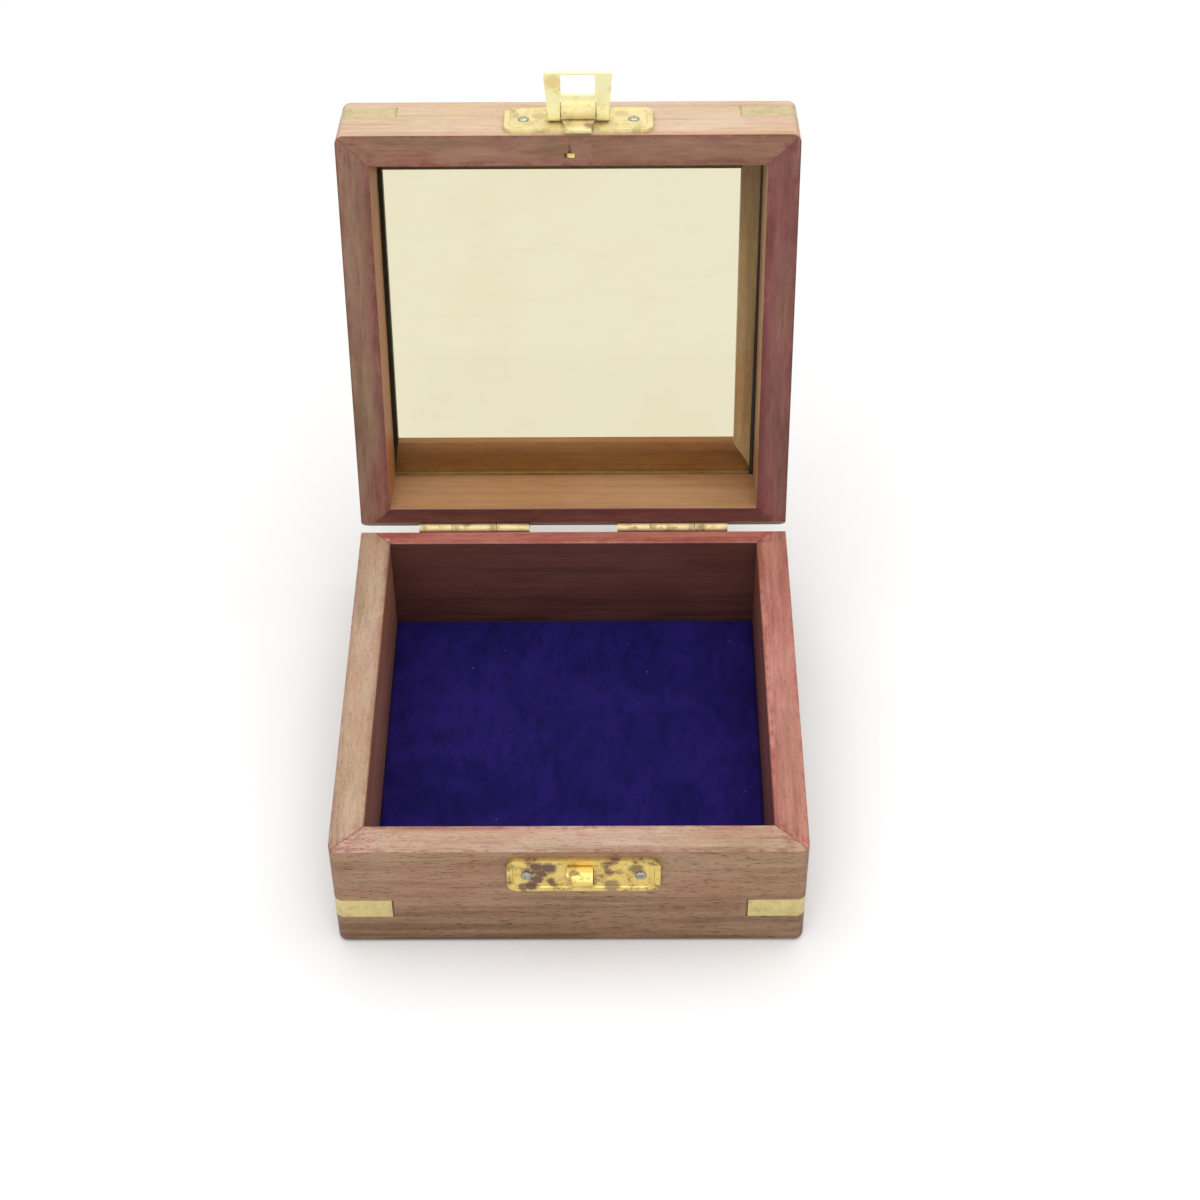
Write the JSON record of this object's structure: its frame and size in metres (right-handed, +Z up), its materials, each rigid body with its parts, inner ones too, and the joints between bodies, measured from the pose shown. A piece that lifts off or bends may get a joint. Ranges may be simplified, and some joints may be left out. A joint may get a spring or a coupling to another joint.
{
  "type": "hinged wooden box",
  "caption": "Small hinged hardwood box with a glazed lid, rolled brass hasp and hooked catch, flush brass corner straps, rolled butt hinges and a velvet lining.",
  "frame": {"origin": "centre of the base's flat underside", "axes": "+X to the right seen from the front, +Y to the back, towards the hinges, +Z up; the lid is at its open stop"},
  "size_m": [0.102, 0.1447, 0.1435],
  "materials": {
    "wood_base": "worn waxed walnut-brown hardwood, red stain at the mitres",
    "wood_lid": "worn waxed walnut-brown hardwood, paler and redder towards the seam",
    "brass_plate": "stamped sheet brass, tarnished brown in the field",
    "brass_strap": "flush sheet brass, bright edges",
    "brass_hinge": "rolled sheet brass, dull, dark in the joints",
    "steel_nail": "dull grey steel",
    "velvet": "deep blue-violet velvet",
    "glass": "clear sheet glass with a straw tint"
  },
  "bodies": {
    "base": {"base_front_wall": "wood_base", "base_back_wall": "wood_base", "base_left_wall": "wood_base", "base_right_wall": "wood_base", "base_bottom_board": "wood_base", "velvet_lining": "velvet", "base_strip_front_left": "brass_strap", "base_strip_front_right": "brass_strap", "base_strip_back_left": "brass_strap", "base_strip_back_right": "brass_strap", "base_strip_pins": "brass_strap", "catch_plate": "brass_plate", "catch_nails": "steel_nail", "hinge_left_base_leaf": "brass_hinge", "hinge_right_base_leaf": "brass_hinge", "hinge_left_pin": "brass_hinge", "hinge_right_pin": "brass_hinge", "base_hinge_nails": "steel_nail"},
    "lid": {"lid_front_rail": "wood_lid", "lid_back_rail": "wood_lid", "lid_left_rail": "wood_lid", "lid_right_rail": "wood_lid", "glass_pane": "glass", "lid_strip_front_left": "brass_strap", "lid_strip_front_right": "brass_strap", "lid_strip_back_left": "brass_strap", "lid_strip_back_right": "brass_strap", "lid_strip_pins": "brass_strap", "hasp_plate": "brass_plate", "hasp_nails": "steel_nail", "hasp_pin": "brass_plate", "rim_brad": "brass_plate", "hinge_left_lid_leaf": "brass_hinge", "hinge_right_lid_leaf": "brass_hinge", "lid_hinge_nails": "steel_nail"},
    "hasp": {"hasp_flap": "brass_plate"}
  },
  "joints": [
    {"name": "lid_hinge", "type": "hinge", "parent": "base", "child": "lid", "pos_m": [0, 0.04915, 0.031], "axis": [-1, 0, 0], "range_deg": [-101.4, 0]},
    {"name": "hasp_swing", "type": "hinge", "parent": "lid", "child": "hasp", "pos_m": [0.0023, 0.0757, 0.13128], "axis": [-1, 0, 0], "range_deg": [-59, 126]}
  ]
}
